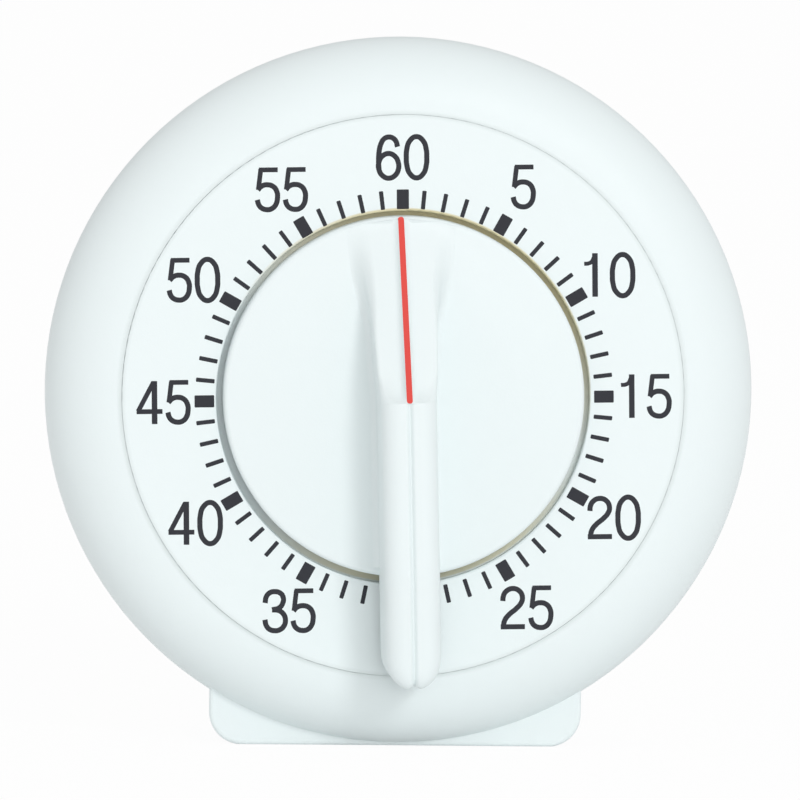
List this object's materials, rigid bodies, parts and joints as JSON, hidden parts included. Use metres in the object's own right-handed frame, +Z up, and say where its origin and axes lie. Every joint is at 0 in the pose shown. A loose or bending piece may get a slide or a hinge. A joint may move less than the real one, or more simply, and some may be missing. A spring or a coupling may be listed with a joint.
{
  "type": "wind-up kitchen timer",
  "caption": "Round wind-up countdown timer: rolled bezel on a flat foot, printed minute dial, turning knob with a grip bar and pointer line, and a geared movement that rings a bell.",
  "frame": {"origin": "on the surface the foot stands on, under the middle of the object's box", "axes": "+Z up, the dial faces -Y, +X to the right as seen from the front"},
  "size_m": [0.108, 0.0544, 0.1082],
  "materials": {
    "white_plastic": "fine-textured moulded white plastic",
    "dial_plastic": "fine-textured moulded white plastic",
    "dial_print": "flat dark grey print",
    "red_plastic": "moulded red plastic",
    "plated_steel": "zinc-plated pressed steel",
    "turned_steel": "turned bright steel",
    "spring_steel": "blued spring strip",
    "brass": "stamped brass",
    "nickel": "nickel-plated pressed steel"
  },
  "bodies": {
    "case": {"front_case": "white_plastic", "dial_plate": "dial_plastic", "rear_case": "white_plastic", "case_screws": "plated_steel", "front_plate": "plated_steel", "rear_plate": "plated_steel", "plate_pillars": "turned_steel", "pillar_nuts": "plated_steel", "movement_screws": "plated_steel", "mainspring": "spring_steel", "release_stud": "turned_steel", "release_spring": "spring_steel", "hammer_spring": "spring_steel", "bell": "nickel", "bell_washer": "plated_steel", "bell_screw": "plated_steel"},
    "knob_and_main_wheel": {"knob": "white_plastic", "pointer_inlay": "red_plastic", "main_arbor": "turned_steel", "trip_cam": "plated_steel", "ratchet_wheel": "turned_steel", "main_wheel": "brass", "click": "turned_steel", "click_rivet": "turned_steel", "click_spring": "spring_steel"},
    "second_arbor": {"second_pinion": "turned_steel", "second_wheel": "brass"},
    "third_arbor": {"third_pinion": "turned_steel", "third_wheel": "brass", "strike_wheel": "brass"},
    "escape_arbor": {"escape_pinion": "turned_steel", "escape_wheel": "brass"},
    "pallet_and_balance": {"pallet_arbor": "turned_steel", "pallet_anchor": "plated_steel", "balance_bar": "brass"},
    "release": {"release_lever": "plated_steel"},
    "hammer": {"hammer_arbor": "turned_steel", "hammer_tail": "plated_steel", "bell_hammer": "plated_steel"}
  },
  "joints": [
    {"name": "knob_turn", "type": "hinge", "parent": "case", "child": "knob_and_main_wheel", "pos_m": [0, -0.01125, 0.0542], "axis": [0, 1, 0], "range_deg": [0, 360]},
    {"name": "second_turn", "type": "hinge", "parent": "case", "child": "second_arbor", "pos_m": [-0.01926, 0.00285, 0.04719], "axis": [0, 1, 0], "range_deg": [-2606.4, 14.4]},
    {"name": "third_turn", "type": "hinge", "parent": "case", "child": "third_arbor", "pos_m": [-0.01871, 0.00285, 0.06318], "axis": [0, 1, 0], "range_deg": [-100.8, 18244.8]},
    {"name": "escape_turn", "type": "hinge", "parent": "case", "child": "escape_arbor", "pos_m": [-0.01276, 0.00285, 0.07348], "axis": [0, 1, 0], "range_deg": [-136836, 756]},
    {"name": "pallet_swing", "type": "hinge", "parent": "case", "child": "pallet_and_balance", "pos_m": [-0.00389, 0.00285, 0.07505], "axis": [0, 1, 0], "range_deg": [-8, 8]},
    {"name": "release_swing", "type": "hinge", "parent": "case", "child": "release", "pos_m": [-0.013, -0.00585, 0.0667], "axis": [0, 1, 0], "range_deg": [0, 5.5]},
    {"name": "hammer_swing", "type": "hinge", "parent": "case", "child": "hammer", "pos_m": [-0.02962, 0.01115, 0.06948], "axis": [0, 1, 0], "range_deg": [-6, 0]}
  ],
  "couplings": [
    {"joint": "second_turn", "follows": "knob_turn", "ratio": -7.2},
    {"joint": "third_turn", "follows": "knob_turn", "ratio": 50.4},
    {"joint": "escape_turn", "follows": "knob_turn", "ratio": -378}
  ]
}
